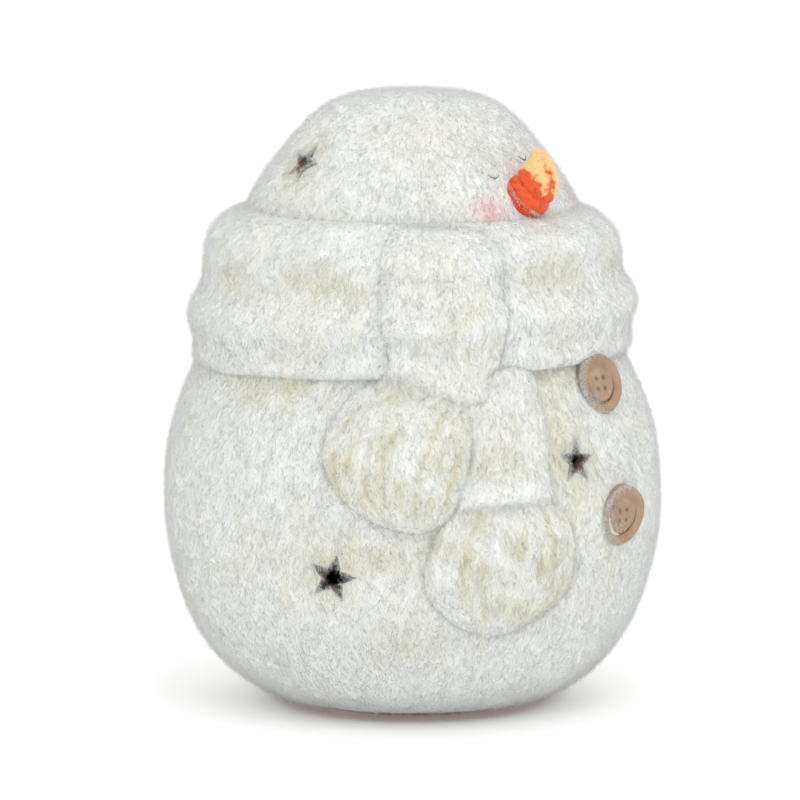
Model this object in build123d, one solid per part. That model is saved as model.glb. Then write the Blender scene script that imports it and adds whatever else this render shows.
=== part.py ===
"""Flocked terracotta snowman lantern with a plug-in battery light.

Millimetres, +Z up. The origin is the centre of the foot, the coat buttons face -Y.
"""

from build123d import *
import os
from math import atan2, cos, degrees, radians, sin

# --- clay figure: radius, height and outward lean of the section, in mm and degrees ---
foot_radius = 39.0
haunch_radius, haunch_height = 66.3, 15.0
flank_radius, flank_height = 80.0, 36.0
belly_radius, belly_height = 87.3, 75.0
chest_radius, chest_height = 82.3, 107.5
neck_radius, neck_height = 64.0, 150.0
cheek_radius, cheek_height = 56.9, 180.0
temple_radius, temple_height = 42.6, 201.0
brow_radius, brow_height = 26.7, 215.2
crown_height = 218.4
foot_lean = 18
crown_roundness = 0.3
figure_leans = (-72, -52, -21, 0, 14, 26, 22, 43, 66, 90)
clay_wall = 6.0
floor_thickness = 8.0
bare_foot_height = 1.6
flock_depth = 2.0

# --- pierced stars: angle from the front towards +X, height, roll ---
star_points = 5
star_tip_radius = 8.5
star_notch_radius = 4.0
star_sites = (
    (-112, 197.0, 12),
    (104, 190.0, -15),
    (-75, 56.5, 14),
    (-14, 95.5, 6),
    (66, 60.0, -8),
    (128, 98.0, 20),
    (-166, 92.0, -12),
)

# --- scarf ---
wrap_root_radius = 50.0
wrap_top_height = 176.0
wrap_collar_radius = 62.0
upper_roll_radius, upper_roll_height = 72.0, 162.0
roll_crease_radius, roll_crease_height = 72.9, 152.5
lower_roll_radius, lower_roll_height = 77.7, 143.5
wrap_hem_radius, wrap_hem_height = 77.0, 136.0
wrap_bottom_height = 131.8
end_shoulder = 0.8
front_end_angle = -48.0
front_end_width = 46.0
front_end_top = 176.5
front_hem_height = 124.0
front_end_lift = 5.0
front_fringe_lift = 8.0
front_fringe_bottom = 73.0
front_fringe_reach = 42.0
front_fringe_swing = 10.0
fringe_depth = 12.0
back_end_angle = -33.5
back_end_width = 37.0
back_hem_height = 86.0
back_end_lift = 4.5
back_fringe_lift = 7.0
back_fringe_bottom = 35.5
back_fringe_width = 53.0

# --- nose and buttons ---
nose_angle, nose_height = -10.0, 188.0
nose_turn, nose_lift = 8.0, 46.0
nose_base_radius = 8.8
nose_length = 20.0
nose_root = 5.0
nose_waist, nose_waist_share = 0.84, 0.5
nose_tip, nose_tip_share = 0.5, 0.85
button_radius = 11.0
button_thickness = 3.4
button_rim_width = 2.6
button_dish_depth = 0.9
button_hole_radius = 1.0
button_hole_spread = 2.3
button_root = 4.0
upper_button_height, upper_button_sink = 120.0, 0.0
upper_button_turn, upper_button_lift = -8.0, 15.0
lower_button_height, lower_button_sink = 74.0, 0.6
lower_button_turn, lower_button_lift = -10.0, -8.0

# --- opening in the foot and the light unit that plugs into it ---
opening_radius = 31.0
seat_radius = 33.0
seat_height = 4.0
slide_clearance = 0.4
seat_clearance = 0.2
grip_clearance = 0.1
housing_gap = 0.8
housing_wall = 1.8
feed_hole_length, feed_hole_width = 4.0, 2.0
plate_thickness = 2.0
deck_thickness = 1.2
bay_wall = 1.5
cover_thickness = 2.0
grip_ring_height = 2.6
grip_ring_rise = 1.2
groove_depth = 0.6

# --- battery cells, size AAA ---
cell_radius = 5.25
cell_length = 44.5
cell_nub_radius = 1.9
cell_nub_length = 1.0
cell_spacing = 0.4
cell_side_clearance = 0.3
cell_floor_clearance = 0.5
contact_thickness = 0.5
spring_length = 5.6
spring_wire_radius = 0.45
spring_turns = 7
spring_first_share, spring_taper = 0.75, 0.05
spring_overlap = 0.08
plate_share = 0.8
feed_tab_width = 3.0
cell_edge_radius = 0.5

# --- battery door ---
door_clearance = 0.25
door_gap = 0.1
door_thickness = 1.8
door_tab_length = 1.7
door_tab_width = 6.0
door_tab_thickness = 0.8
door_tab_offset = 15.0
lug_reach = 17.0
lug_radius = 4.2
screw_head_radius = 2.6
screw_head_depth = 0.9
screw_shank_radius = 1.2
screw_length = 3.7
screw_cross_width = 0.6
screw_cross_share = 0.62
screw_cross_depth = 0.6
thread_clearance = 0.4
boss_radius = 3.4

# --- board, lamp and dome ---
board_radius = 23.2
board_thickness = 1.6
board_rise = 1.6
cover_room = 2.8
post_radius = 1.6
post_circle = 17.0
post_count = 3
lamp_radius = 2.5
lamp_length = 8.6
lamp_flange_radius = 2.9
lamp_flange_height = 1.0
lamp_clearance = 1.6
dome_radius = 10.0
dome_wall = 1.4
dome_height = 18.0
collar_wall = 1.4
collar_height = 2.0
dome_clearance = 0.1
cover_screw_circle = 25.8
cover_screw_count = 3
cover_screw_first_angle = 30.0
cover_screw_head_radius = 2.1
cover_screw_shank_radius = 0.9
cover_screw_length = 4.0
cover_screw_clearance = 0.1
board_notch_clearance = 0.3
resistor_radius = 1.1
resistor_length = 6.0

# --- slide switch ---
switch_offset = 21.0
switch_travel = 3.0
knob_length = 4.0
knob_width = 3.2
knob_clearance = 0.3
knob_groove_width = 0.5
knob_groove_spacing = 1.0
knob_groove_depth = 0.3
carriage_overhang = 1.5
carriage_thickness = 0.9
carriage_side = 0.7
switch_wall = 0.7
switch_height = 4.6
terminal_width = 0.8
terminal_pitch = 3.0

# --- sizes that follow ---
flange_radius = seat_radius - slide_clearance
plate_top = seat_height - seat_clearance
plate_bottom = plate_top - plate_thickness
housing_radius = opening_radius - housing_gap
housing_bore = housing_radius - housing_wall
bay_half_width = cell_radius * 2 + cell_spacing / 2 + cell_side_clearance
bay_half_length = (cell_length + spring_length + 2 * contact_thickness) / 2
cell_height = plate_top + cell_floor_clearance + cell_radius
cell_offset = cell_radius + cell_spacing / 2
deck_bottom = cell_height + cell_radius + cell_floor_clearance
deck_top = deck_bottom + deck_thickness
board_bottom = deck_top + board_rise
board_top = board_bottom + board_thickness
housing_top = board_top + cover_room
cover_top = housing_top + cover_thickness
door_top = plate_top - door_gap
door_bottom = door_top - door_thickness
door_axis_height = (door_top + door_bottom) / 2
door_half_width = bay_half_width + bay_wall - door_gap
door_half_length = bay_half_length + bay_wall - door_gap
door_axis_x = -door_half_width + door_thickness / 2
far = 2 * max(belly_radius, crown_height)


# ---------------------------------------------------------------- helpers

def section_points(radii, heights, leans, grow):
    """Points of a turned section, each moved outwards along its own lean."""
    rows = zip(radii, heights, leans)
    return [
        Vector(r + grow * cos(radians(a)), 0, h + grow * sin(radians(a)))
        for r, h, a in rows
    ]


def figure_curve(grow):
    """Section curve of the figure from foot to crown, grown by a depth."""
    radii = (foot_radius, haunch_radius, flank_radius, belly_radius, chest_radius)
    radii += (neck_radius, cheek_radius, temple_radius, brow_radius, 0.0)
    heights = (0.0, haunch_height, flank_height, belly_height, chest_height)
    heights += (neck_height, cheek_height, temple_height, brow_height, crown_height)
    points = section_points(radii, heights, figure_leans, grow)
    start = Vector(cos(radians(foot_lean)), 0, sin(radians(foot_lean)))
    ends = (start, Vector(-1, 0, 0))
    return Spline(*points, tangents=ends, tangent_scalars=(1.0, crown_roundness))


def section(curve, root_radius=0.0):
    """Flat section between a curve and a root radius."""
    first, last = curve @ 0, curve @ 1
    foot = Vector(root_radius, 0, first.Z)
    head = [] if last.X < root_radius + 1e-6 else [Vector(root_radius, 0, last.Z)]
    back = Polyline(last, *head, foot, first)
    return make_face([curve] + list(back.edges()))


def turned(flat):
    """Solid of revolution of a flat section."""
    return revolve(flat, Axis.Z)


def band(low, high):
    """Flat strip of the section plane between two heights."""
    return Plane.XZ * Pos(far / 2, (low + high) / 2) * Rectangle(far, high - low)


def slab(low, high):
    """Everything between two heights."""
    return Pos(0, 0, (low + high) / 2) * Box(2 * far, 2 * far, high - low)


def disc(radius, low, high, x=0.0, y=0.0):
    """Upright round disc between two heights."""
    return Pos(x, y, (low + high) / 2) * Cylinder(radius, high - low)


def block(x_low, x_high, y_low, y_high, z_low, z_high):
    """Box given by its limits."""
    middle = Pos((x_low + x_high) / 2, (y_low + y_high) / 2, (z_low + z_high) / 2)
    return middle * Box(x_high - x_low, y_high - y_low, z_high - z_low)


def skin_site(height, grow):
    """Radius and outward lean of the grown figure at a height."""
    curve = figure_curve(grow)
    low, high = 0.0, 1.0
    for _ in range(40):
        middle = (low + high) / 2
        if (curve @ middle).Z < height:
            low = middle
        else:
            high = middle
    along = curve % low
    return (curve @ low).X, degrees(atan2(-along.X, along.Z))


def front_vector(angle, lean):
    """Unit vector at an angle from the front towards +X, raised by a lean."""
    a, b = radians(angle), radians(lean)
    return Vector(sin(a) * cos(b), -cos(a) * cos(b), sin(b))


def site_plane(angle, height, grow, turn=0.0, lift=None):
    """Plane on the skin at a site, facing out, with its local Y upwards."""
    radius, lean = skin_site(height, grow)
    spot = front_vector(angle, 0) * radius + Vector(0, 0, height)
    facing = front_vector(angle + turn, lean if lift is None else lift)
    return Plane(origin=spot, x_dir=front_vector(angle + turn + 90, 0), z_dir=facing)


def cut_all(solid, tools):
    """Take every tool away from the solid."""
    for tool in tools:
        solid = solid - tool
    return solid


# ---------------------------------------------------------------- clay figure

def star_prisms():
    """Star-shaped cutters through the wall and the flock."""
    prisms = []
    for angle, height, roll in star_sites:
        radii = (star_tip_radius, star_notch_radius) * star_points
        step = 180 / star_points
        outline = Polyline(
            *[
                (r * sin(radians(i * step + roll)), r * cos(radians(i * step + roll)))
                for i, r in enumerate(radii)
            ],
            close=True,
        )
        reach = clay_wall + 2 * flock_depth
        prism = extrude(make_face(outline), reach, both=True)
        prisms.append(site_plane(angle, height, 0) * prism)
    return prisms


def filled_figure(grow):
    """The figure as a full solid, grown by a depth."""
    return turned(section(figure_curve(grow)))


def clay_body(stars):
    """Hollow clay figure with its foot opening, seat and stars."""
    cavity = filled_figure(-clay_wall) & slab(floor_thickness, far)
    opening = disc(opening_radius, -1, floor_thickness + 1)
    seat = disc(seat_radius, -1, seat_height)
    return cut_all(filled_figure(0), [cavity, opening, seat] + stars)


# ---------------------------------------------------------------- scarf

def wrap_section(grow):
    """Section of the rolled band round the neck, from inside the clay outwards."""
    radii = (wrap_collar_radius, upper_roll_radius, roll_crease_radius)
    radii += (lower_roll_radius, wrap_hem_radius)
    heights = (wrap_top_height, upper_roll_height, roll_crease_height)
    heights += (lower_roll_height, wrap_hem_height)
    points = section_points(radii, heights, (70, 12, -18, 0, -10), grow)
    low = Vector(wrap_hem_radius - 2 * flock_depth, 0, wrap_bottom_height - grow)
    return section(Spline(*points, low), wrap_root_radius)


def drape(points, grow, root_radius):
    """Turned envelope that limits how far a scarf end stands off."""
    moved = [Vector(r + grow, 0, h) for r, h in points]
    moved[0] += Vector(0, 0, grow)
    return turned(section(Spline(*moved), root_radius))


def facing_prism(points, angle, grow):
    """Closed outline in sideways distance and height, grown and extruded off the axis."""
    sideways, away = front_vector(angle + 90, 0), front_vector(angle, 0)
    face = make_face(Spline(*grown_loop(points, grow), periodic=True))
    return extrude(Plane(origin=(0, 0, 0), x_dir=sideways, z_dir=away) * face, far)


def grown_loop(points, grow):
    """Clockwise loop of points, each moved outwards along the loop's own normal."""
    loop = [Vector(x, y) for x, y in points]
    following = loop[1:] + loop[:1]
    previous = loop[-1:] + loop[:-1]
    moved = []
    for before, here, after in zip(previous, loop, following):
        along = (after - before).normalized()
        moved.append(here + Vector(-along.Y, along.X) * grow)
    return moved


def front_end_outline():
    """Strip of the front end with its fan of fringe, swung towards -X, clockwise."""
    half = front_end_width / 2
    shoulder = front_end_top - 5
    side = front_end_top - 18
    return (
        (0, front_end_top),
        (half * end_shoulder, shoulder),
        (half, side),
        (half, front_hem_height + 8),
        (half - 8, front_hem_height - 14),
        (half - 17, front_fringe_bottom + 10),
        (-front_fringe_swing, front_fringe_bottom),
        (9 - front_fringe_reach, front_fringe_bottom + 11),
        (-front_fringe_reach, front_hem_height - 20),
        (5 - front_fringe_reach, front_hem_height - 2),
        (-half - 1, front_hem_height + 14),
        (-half, side),
        (-half * end_shoulder, shoulder),
    )


def back_end_outline():
    """Strip of the back end with its round fringe, clockwise."""
    half = back_end_width / 2
    fan = back_fringe_width / 2
    middle = (back_hem_height + back_fringe_bottom) / 2
    right_side = (
        (half, wrap_bottom_height),
        (half, back_hem_height + 4),
        (fan * end_shoulder, back_hem_height - 8),
        (fan, middle),
        (fan * end_shoulder, back_fringe_bottom + 10),
    )
    left_side = tuple((-x, z) for x, z in reversed(right_side))
    return ((0, back_fringe_bottom), *left_side, (0, wrap_bottom_height + 14), *right_side)


def end_drape_points(heights_and_lifts, under_radius):
    """Envelope points of a scarf end, each lifted off what lies under it."""
    return [(under_radius(h) + lift, h) for h, lift in heights_and_lifts]


def figure_radius(height):
    """Radius of the bare figure at a height."""
    return skin_site(height, 0)[0]


def under_wrap_radius(height):
    """Radius of the scarf band or the figure, whichever is further out."""
    figure = figure_radius(height)
    if height < wrap_bottom_height:
        return figure
    if height > upper_roll_height:
        share = (height - upper_roll_height) / (wrap_top_height - upper_roll_height)
        return upper_roll_radius - share * (upper_roll_radius - wrap_collar_radius)
    return max(figure, wrap_hem_radius)


def front_end(grow, root=wrap_root_radius):
    """Front scarf end as a full solid, grown by a depth."""
    stations = (
        (front_end_top + 2, front_end_lift),
        (upper_roll_height, front_end_lift + 2),
        (lower_roll_height, front_end_lift),
        (front_hem_height, front_end_lift + 1),
        (front_hem_height - 1.5 * fringe_depth, front_fringe_lift),
        (front_fringe_bottom + fringe_depth, front_fringe_lift),
        (front_fringe_bottom - fringe_depth / 2, front_fringe_lift - 3),
    )
    envelope = drape(end_drape_points(stations, under_wrap_radius), grow, root)
    return envelope & facing_prism(front_end_outline(), front_end_angle, grow)


def back_end(grow, root=wrap_root_radius):
    """Back scarf end as a full solid, grown by a depth."""
    stations = (
        (wrap_bottom_height + 1.5 * fringe_depth, back_end_lift),
        (wrap_bottom_height, back_end_lift),
        (back_hem_height + fringe_depth / 2, back_end_lift),
        (back_hem_height - fringe_depth, back_fringe_lift),
        (back_fringe_bottom + fringe_depth, back_fringe_lift),
        (back_fringe_bottom - fringe_depth / 2, back_fringe_lift - 3),
    )
    envelope = drape(end_drape_points(stations, figure_radius), grow, root)
    return envelope & facing_prism(back_end_outline(), back_end_angle, grow)


# ---------------------------------------------------------------- nose and buttons

def carrot_nose():
    """Short thick carrot that points up and out of the face."""
    plane = site_plane(nose_angle, nose_height, 0, nose_turn, nose_lift)
    root = -nose_root
    edge = Spline(
        (nose_base_radius, 0, root),
        (nose_base_radius, 0, nose_length * 0.1),
        (nose_base_radius * nose_waist, 0, nose_length * nose_waist_share),
        (nose_base_radius * nose_tip, 0, nose_length * nose_tip_share),
        (0, 0, nose_length),
        tangents=((0, 0, 1), (-1, 0, 0)),
    )
    back = Polyline((0, 0, nose_length), (0, 0, root), (nose_base_radius, 0, root))
    return plane * revolve(make_face([edge] + list(back.edges())), Axis.Z)


def button_seat(height, sink, turn, lift):
    """Full disc that a coat button takes up, sunk into the coat."""
    plane = site_plane(0, height, flock_depth - sink, turn, lift)
    return plane * disc(button_radius, -button_root, button_thickness)


def coat_button(height, sink, turn, lift):
    """Round moulded coat button: raised rim, dished middle, four holes."""
    plane = site_plane(0, height, flock_depth - sink, turn, lift)
    rim = button_radius - button_rim_width
    face = button_thickness / 2
    button = disc(button_radius, -button_root, face)
    button = fillet(button.edges().group_by(Axis.Z)[-1], button_dish_depth)
    button -= disc(rim, face - button_dish_depth, face + 1)
    for x in (-button_hole_spread, button_hole_spread):
        for y in (-button_hole_spread, button_hole_spread):
            button -= disc(button_hole_radius, -face, face + 1, x, y)
    return plane * button


# ---------------------------------------------------------------- light unit

def door_outline(grow):
    """Battery door seen from below, with its screw lug."""
    panel = Rectangle(2 * (door_half_width + grow), 2 * (door_half_length + grow))
    reach = lug_reach / 2
    lug = Pos(reach, 0) * Rectangle(lug_reach, 2 * (lug_radius + grow))
    tip = Pos(lug_reach, 0) * Circle(lug_radius + grow)
    return panel + lug + tip


def raised(sketch, low, high):
    """Sketch extruded between two heights."""
    return Pos(0, 0, low) * extrude(sketch, high - low)


def tab_sites():
    """Sideways places of the two door tabs."""
    return (-door_tab_offset, door_tab_offset)


def tab_pockets():
    """Room for the tabs to turn as the door swings."""
    swing = door_tab_length + door_thickness
    half = door_tab_width / 2 + door_clearance
    outer = -door_half_width - door_tab_length - door_clearance
    ledge = door_top - door_tab_thickness - door_gap
    inner = door_axis_x + door_thickness / 2
    high = door_axis_height + swing
    return [block(outer, inner, y - half, y + half, ledge, high) for y in tab_sites()]


def cover_screw_sites():
    """Places of the cover screws."""
    step = 360 / cover_screw_count
    angles = [radians(cover_screw_first_angle + i * step) for i in range(cover_screw_count)]
    return [(cover_screw_circle * cos(a), cover_screw_circle * sin(a)) for a in angles]


def board_post_sites():
    """Places of the posts that carry the board."""
    step = 360 / post_count
    first = cover_screw_first_angle + step / 2
    angles = [radians(first + i * step) for i in range(post_count)]
    return [(post_circle * cos(a), post_circle * sin(a)) for a in angles]


def terminal_sites():
    """Places of the three switch terminals."""
    return [(-switch_offset, i * terminal_pitch) for i in (-1, 0, 1)]


def feed_sites():
    """Places of the two battery feeds, at the -Y end of the bay."""
    y = -bay_half_length + contact_thickness / 2
    return [(-cell_offset, y), (cell_offset, y)]


def light_housing():
    """Cup with flange, battery bay, deck, bosses and grip groove."""
    shell = disc(housing_radius, plate_bottom, housing_top)
    shell -= disc(housing_bore, plate_top, housing_top + 1)
    shell += disc(flange_radius, plate_bottom, plate_top)
    width, length = bay_half_width + bay_wall, bay_half_length + bay_wall
    bay = block(-width, width, -length, length, plate_bottom, deck_bottom)
    bay &= disc(housing_radius, plate_bottom, deck_bottom)
    boss = disc(boss_radius, plate_bottom, deck_bottom, lug_reach)
    shell += disc(housing_bore + housing_wall / 2, deck_bottom, deck_top) + bay + boss
    inside, half_bay = bay_half_width, bay_half_length
    hollow = block(-inside, inside, -half_bay, half_bay, -1, deck_bottom)
    recess = raised(door_outline(door_clearance), -1, plate_top)
    thread = disc(screw_shank_radius + thread_clearance, -1, deck_bottom - 1, lug_reach)
    shell = cut_all(shell, [hollow, recess, thread] + tab_pockets())
    for x, y in cover_screw_sites():
        shell += disc(cover_screw_head_radius, deck_top, housing_top, x, y)
        shell -= disc(cover_screw_shank_radius, deck_top, housing_top + 1, x, y)
    for x, y in board_post_sites():
        shell += disc(post_radius, deck_top, board_bottom, x, y)
    for x, y in terminal_sites():
        shell -= disc(terminal_width, deck_bottom - 1, deck_top + 1, x, y)
    half_x, half_y = feed_hole_length / 2, feed_hole_width / 2
    for x, y in feed_sites():
        feed = block(x - half_x, x + half_x, y - half_y, y + half_y, deck_bottom, deck_top)
        shell -= feed
    half = knob_width / 2 + knob_clearance
    run = (knob_length + switch_travel) / 2 + knob_clearance
    shell -= block(-switch_offset - half, -switch_offset + half, -run, run, -1, plate_top + 1)
    low = seat_height + grip_ring_rise
    ring = disc(housing_radius + 1, low, low + grip_ring_height)
    ring -= disc(housing_radius - groove_depth, low, low + grip_ring_height)
    return shell - ring


def grip_ring():
    """Rubber ring that grips the clay opening."""
    low = seat_height + grip_ring_rise
    high = low + grip_ring_height
    ring = disc(opening_radius - grip_clearance, low, high)
    ring = fillet(ring.edges(), groove_depth / 2)
    return ring - disc(housing_radius - groove_depth, low - 1, high + 1)


def housing_cover():
    """Lid with its lamp hole, dome collar, board ring and screw seats."""
    cover = disc(housing_radius, housing_top, cover_top)
    cover = fillet(cover.edges().group_by(Axis.Z)[-1], cover_thickness / 3)
    ring = disc(post_circle + post_radius, board_top, housing_top)
    cover += ring - disc(post_circle - post_radius, board_top - 1, housing_top)
    inner = dome_radius + dome_clearance
    cover += disc(inner + collar_wall, housing_top, cover_top + collar_height)
    cover -= disc(inner, cover_top, cover_top + collar_height + 1)
    cover -= disc(lamp_radius + lamp_clearance, board_top - 1, cover_top + 1)
    for x, y in cover_screw_sites():
        cover -= disc(cover_screw_shank_radius, housing_top - 1, cover_top + 1, x, y)
        cover -= disc(cover_screw_head_radius, cover_top - cover_thickness / 2, cover_top + 1, x, y)
    return cover


def crossed_screw(head_radius, head_depth, shank_radius, length):
    """Pan screw standing on its point at -Z, with a cross recess on top."""
    screw = disc(head_radius, 0, head_depth) + disc(shank_radius, -length, 0)
    arm, half = head_radius * screw_cross_share, screw_cross_width / 2
    low = head_depth * (1 - screw_cross_depth)
    slot = block(-arm, arm, -half, half, low, head_depth + 1)
    return screw - slot - slot.rotate(Axis.Z, 90)


def cover_screws():
    """The three screws that hold the cover."""
    head_radius = cover_screw_head_radius - cover_screw_clearance
    head_depth = cover_thickness / 2
    screw = crossed_screw(head_radius, head_depth, cover_screw_shank_radius, cover_screw_length)
    low = cover_top - head_depth
    return [Pos(x, y, low) * screw for x, y in cover_screw_sites()]


def circuit_board():
    """Round board on the deck posts."""
    board = disc(board_radius, board_bottom, board_top)
    notch = cover_screw_head_radius + board_notch_clearance
    for x, y in cover_screw_sites():
        board -= disc(notch, board_bottom - 1, board_top + 1, x, y)
    return board


def led_lamp():
    """Five-millimetre round lamp in the middle of the board."""
    straight = lamp_length - lamp_radius
    lamp = disc(lamp_flange_radius, board_top, board_top + lamp_flange_height)
    lamp += disc(lamp_radius, board_top, board_top + straight)
    ball = Pos(0, 0, board_top + straight) * Sphere(lamp_radius)
    return lamp + ball


def resistor():
    """Small resistor lying on the board."""
    body = Cylinder(resistor_radius, resistor_length).rotate(Axis.X, 90)
    body = fillet(body.edges(), resistor_radius / 3)
    return Pos(dome_radius, 0, board_top + resistor_radius) * body


def diffuser_dome():
    """Frosted cap over the lamp."""
    def cap(radius, low, high):
        column = disc(radius, low, high - radius)
        return column + Pos(0, 0, high - radius) * Sphere(radius)

    top = cover_top + dome_height
    inner = dome_radius - dome_wall
    dome = cap(dome_radius, cover_top, top) - cap(inner, cover_top - 1, top - dome_wall)
    return dome & slab(cover_top, far)


def battery_cell(side):
    """One cell, nub towards -Y on the -X side and +Y on the +X side."""
    can_length = cell_length - cell_nub_length
    can = Cylinder(cell_radius, can_length)
    can = fillet(can.edges(), cell_edge_radius)
    nub = Pos(0, 0, (can_length + cell_nub_length) / 2) * Cylinder(cell_nub_radius, cell_nub_length)
    cell = (can + nub).rotate(Axis.X, 90)
    shift = (cell_nub_length - spring_length) / 2
    cell = Pos(0, shift, 0) * cell
    if side > 0:
        cell = cell.rotate(Axis.Z, 180)
    return Pos(side * cell_offset, 0, cell_height) * cell


def contact_spring(side):
    """Closed-wound spring behind one cell, tapering towards it."""
    pitch = (spring_length - 2 * spring_wire_radius) / (spring_turns - 1)
    wall = bay_half_length - contact_thickness
    rings = []
    for i in range(spring_turns):
        radius = cell_radius * (spring_first_share - spring_taper * i)
        ring = Torus(radius, pitch / 2 + spring_overlap).rotate(Axis.X, 90)
        depth = wall - spring_wire_radius - i * pitch
        rings.append(Pos(side * cell_offset, -side * depth, cell_height) * ring)
    low, high = sorted((-side * wall, -side * (wall - spring_length)))
    return sum(rings[1:], rings[0]) & block(-far, far, low, high, 0, far)


def contact_springs():
    """The two battery springs."""
    return [contact_spring(side) for side in (-1, 1)]


def contact_plate(x_low, x_high, end, tall=False):
    """Contact strip on an end wall of the bay, with an optional feed tab."""
    wall = end * bay_half_length
    inner = wall - end * contact_thickness
    low, high = sorted((wall, inner))
    rise = cell_radius * plate_share
    plate = block(x_low, x_high, low, high, cell_height - rise, cell_height + rise)
    if tall:
        x, half = (x_low + x_high) / 2, feed_tab_width / 2
        plate += block(x - half, x + half, low, high, cell_height, board_bottom)
    return plate


def battery_door():
    """Snap-edge door with two tabs and a screw lug."""
    door = raised(door_outline(0), door_bottom, door_top)
    edge_cut = block(-far, door_axis_x, -far, far, door_bottom - 1, door_top + 1)
    round_edge = Cylinder(door_thickness / 2, 2 * door_half_length).rotate(Axis.X, 90)
    door = door - edge_cut + Pos(door_axis_x, 0, door_axis_height) * round_edge
    half = door_tab_width / 2
    reach = -door_half_width - door_tab_length
    for y in tab_sites():
        low = door_top - door_tab_thickness
        door += block(reach, door_axis_x, y - half, y + half, low, door_top)
    shank_hole, head_hole = screw_shank_radius + door_clearance, screw_head_radius + door_clearance
    door -= disc(shank_hole, door_bottom - 1, door_top + 1, lug_reach)
    return door - disc(head_hole, door_bottom - 1, door_bottom + screw_head_depth, lug_reach)


def door_screw():
    """Screw that holds the door, its head downwards."""
    depth = screw_head_depth - door_gap
    screw = crossed_screw(screw_head_radius, depth, screw_shank_radius, screw_length)
    return Pos(lug_reach, 0, door_bottom + depth) * screw.rotate(Axis.X, 180)


def switch_slider():
    """Knob in the plate slot, with its carriage above the plate."""
    rest = -switch_travel / 2
    half_x, half_y = knob_width / 2, knob_length / 2
    bottom = plate_bottom + door_gap
    knob = block(-half_x, half_x, -half_y, half_y, bottom, plate_top + knob_clearance)
    for i in (-1, 0, 1):
        y, half = i * knob_groove_spacing, knob_groove_width / 2
        knob -= block(-half_x, half_x, y - half, y + half, bottom, bottom + knob_groove_depth)
    wide_x, wide_y = half_x + carriage_side, half_y + carriage_overhang
    low = plate_top + door_gap
    carriage = block(-wide_x, wide_x, -wide_y, wide_y, low, low + carriage_thickness)
    return Pos(-switch_offset, rest, 0) * (knob + carriage)


def switch_body():
    """Switch can on the plate, over the carriage."""
    room_x = knob_width / 2 + carriage_side + knob_clearance
    room_y = knob_length / 2 + carriage_overhang + switch_travel / 2 + knob_clearance
    can_x, can_y = room_x + switch_wall, room_y + switch_wall
    can = block(-can_x, can_x, -can_y, can_y, plate_top, plate_top + switch_height)
    roof = plate_top + door_gap + carriage_thickness + knob_clearance
    can -= block(-room_x, room_x, -room_y, room_y, plate_top - 1, roof)
    return Pos(-switch_offset, 0, 0) * can


def switch_terminals():
    """Three pins from the switch up to the board."""
    half = terminal_width / 2
    low = plate_top + switch_height
    return [
        block(x - half, x + half, y - half, y + half, low, board_bottom)
        for x, y in terminal_sites()
    ]


# ---------------------------------------------------------------- assembly

def flock_section(low, high):
    """Flat section of the coat on the bare figure between two heights."""
    coat = section(figure_curve(flock_depth)) & band(low, high)
    return coat - section(figure_curve(0)) - wrap_section(flock_depth)


def wrap_flock_section():
    """Flat section of the coat on the scarf band."""
    return wrap_section(flock_depth) - section(figure_curve(0)) - wrap_section(0)


def figure_parts():
    """Clay pieces and the flock coat over them."""
    stars = star_prisms()
    full, wrap_full = filled_figure(0), turned(wrap_section(0))
    nose = carrot_nose() - full
    upper_site = (upper_button_height, upper_button_sink, upper_button_turn, upper_button_lift)
    lower_site = (lower_button_height, lower_button_sink, lower_button_turn, lower_button_lift)
    wrap = turned(wrap_section(0) - section(figure_curve(0)))
    front_full, back_full = front_end(0), back_end(0)
    front = front_full - full - wrap_full
    back = back_full - full - wrap_full - front_full
    deeper = wrap_root_radius - flock_depth
    front_coat, back_coat = front_end(flock_depth), back_end(flock_depth)
    bare = [nose, button_seat(*upper_site), button_seat(*lower_site)] + stars
    head_coat = turned(flock_section(neck_height, far))
    body_coat = turned(flock_section(bare_foot_height, neck_height))
    wrap_coat = turned(wrap_flock_section())
    clay_ends = [front_end(0, deeper), back_end(0, deeper), full, wrap_full]
    front_skin = cut_all(front_coat, clay_ends)
    back_skin = cut_all(back_coat, [back_end(0, deeper), front_coat, full, wrap_full])
    return {
        "clay_body": clay_body(stars),
        "scarf_wrap": wrap,
        "scarf_end_front": cut_all(front, stars),
        "scarf_end_back": cut_all(back, stars),
        "carrot_nose": nose,
        "button_upper": coat_button(*upper_site) - full,
        "button_lower": coat_button(*lower_site) - full,
        "head_flock": cut_all(head_coat, [front_coat] + bare),
        "body_flock": cut_all(body_coat, [front_coat, back_coat] + bare),
        "scarf_wrap_flock": cut_all(wrap_coat, [front_coat, back_coat, button_seat(*upper_site)]),
        "scarf_front_flock": cut_all(front_skin, stars),
        "scarf_back_flock": cut_all(back_skin, stars),
    }


def light_parts():
    """The plug-in battery light."""
    left, right = -cell_offset, cell_offset
    half = cell_radius * plate_share
    return {
        "light_housing": light_housing(),
        "grip_ring": grip_ring(),
        "housing_cover": housing_cover(),
        "cover_screws": cover_screws(),
        "circuit_board": circuit_board(),
        "led_lamp": led_lamp(),
        "resistor": resistor(),
        "diffuser_dome": diffuser_dome(),
        "battery_cell_left": battery_cell(-1),
        "battery_cell_right": battery_cell(1),
        "contact_springs": contact_springs(),
        "contact_positive": contact_plate(left - half, left + half, -1, tall=True),
        "contact_negative": contact_plate(right - half, right + half, -1, tall=True),
        "contact_bridge": contact_plate(left - half, right + half, 1),
        "battery_door": battery_door(),
        "door_screw": door_screw(),
        "switch_slider": switch_slider(),
        "switch_body": switch_body(),
        "switch_terminals": switch_terminals(),
    }


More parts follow.
